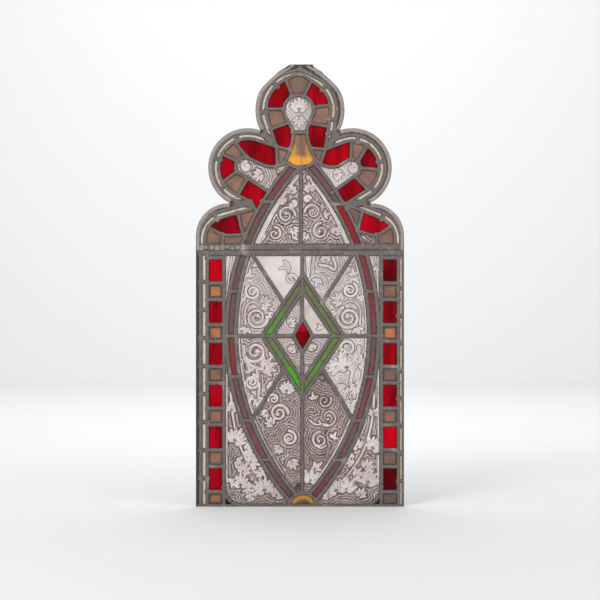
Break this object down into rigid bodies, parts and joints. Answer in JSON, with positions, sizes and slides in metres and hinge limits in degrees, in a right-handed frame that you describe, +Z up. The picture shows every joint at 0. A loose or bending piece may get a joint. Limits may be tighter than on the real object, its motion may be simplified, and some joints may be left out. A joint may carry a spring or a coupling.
{
  "type": "stained glass window",
  "caption": "Leaded stained glass window with a trefoil head: a pointed oval of painted glass, a green and red rhombus, and ruby borders.",
  "frame": {"origin": "middle of the flat sill edge, half way through the depth of the lead", "axes": "+Z up along the height, +X to the right across the width seen from the front, front face towards -Y"},
  "size_m": [0.458, 0.008, 0.9724],
  "materials": {
    "lead": "dull grey lead with solder joints",
    "umber_glass": "brown-pink glass with a thin wash of paint",
    "ruby_glass": "deep ruby red glass, smooth and see-through",
    "brown_painted_glass": "clear glass with a brown painted ground",
    "gold_glass": "clear glass stained gold",
    "clear_painted_glass": "clear glass with fine brown painted lines",
    "plum_glass": "streaky plum and pink glass",
    "green_glass": "streaky green glass"
  },
  "bodies": {
    "root": {"head_leading": "lead", "lower_leading": "lead", "top_lobe_crown_umber": "umber_glass", "top_lobe_ruby_upper_left": "ruby_glass", "top_lobe_ruby_upper_right": "ruby_glass", "top_lobe_umber_left": "umber_glass", "top_lobe_umber_right": "umber_glass", "top_lobe_ruby_lower_left": "ruby_glass", "top_lobe_ruby_lower_right": "ruby_glass", "top_lobe_umber_foot_left": "umber_glass", "top_lobe_umber_foot_right": "umber_glass", "top_lobe_painted_bud": "brown_painted_glass", "yellow_bell": "gold_glass", "left_lobe_ruby_top": "ruby_glass", "left_lobe_umber_top": "umber_glass", "left_lobe_ruby_side": "ruby_glass", "left_lobe_umber_side": "umber_glass", "left_lobe_ruby_foot": "ruby_glass", "left_lobe_painted_leaf": "clear_painted_glass", "right_lobe_ruby_top": "ruby_glass", "right_lobe_umber_top": "umber_glass", "right_lobe_ruby_side": "ruby_glass", "right_lobe_umber_side": "umber_glass", "right_lobe_ruby_foot": "ruby_glass", "right_lobe_painted_leaf": "clear_painted_glass", "left_shoulder_ruby": "ruby_glass", "right_shoulder_ruby": "ruby_glass", "left_shoulder_umber": "umber_glass", "right_shoulder_umber": "umber_glass", "head_painted_left": "brown_painted_glass", "head_painted_right": "brown_painted_glass", "head_band_left_lower": "plum_glass", "head_band_left_upper": "plum_glass", "head_band_right_lower": "plum_glass", "head_band_right_upper": "plum_glass", "lower_painted_top_left": "clear_painted_glass", "lower_painted_top_right": "brown_painted_glass", "side_painted_upper_left": "brown_painted_glass", "side_painted_upper_right": "brown_painted_glass", "side_painted_lower_left": "brown_painted_glass", "side_painted_lower_right": "brown_painted_glass", "green_strip_upper_left": "green_glass", "green_strip_upper_right": "green_glass", "green_strip_lower_left": "green_glass", "green_strip_lower_right": "green_glass", "inner_painted_upper_left": "brown_painted_glass", "inner_painted_upper_right": "clear_painted_glass", "inner_painted_lower_left": "brown_painted_glass", "inner_painted_lower_right": "brown_painted_glass", "red_diamond": "ruby_glass", "lower_painted_foot_left": "brown_painted_glass", "lower_painted_foot_right": "brown_painted_glass", "spandrel_upper_left": "clear_painted_glass", "spandrel_upper_right": "clear_painted_glass", "spandrel_lower_left": "brown_painted_glass", "spandrel_lower_right": "brown_painted_glass", "corner_ruby_left": "ruby_glass", "corner_ruby_right": "ruby_glass", "yellow_half_round": "gold_glass"}
  },
  "joints": []
}
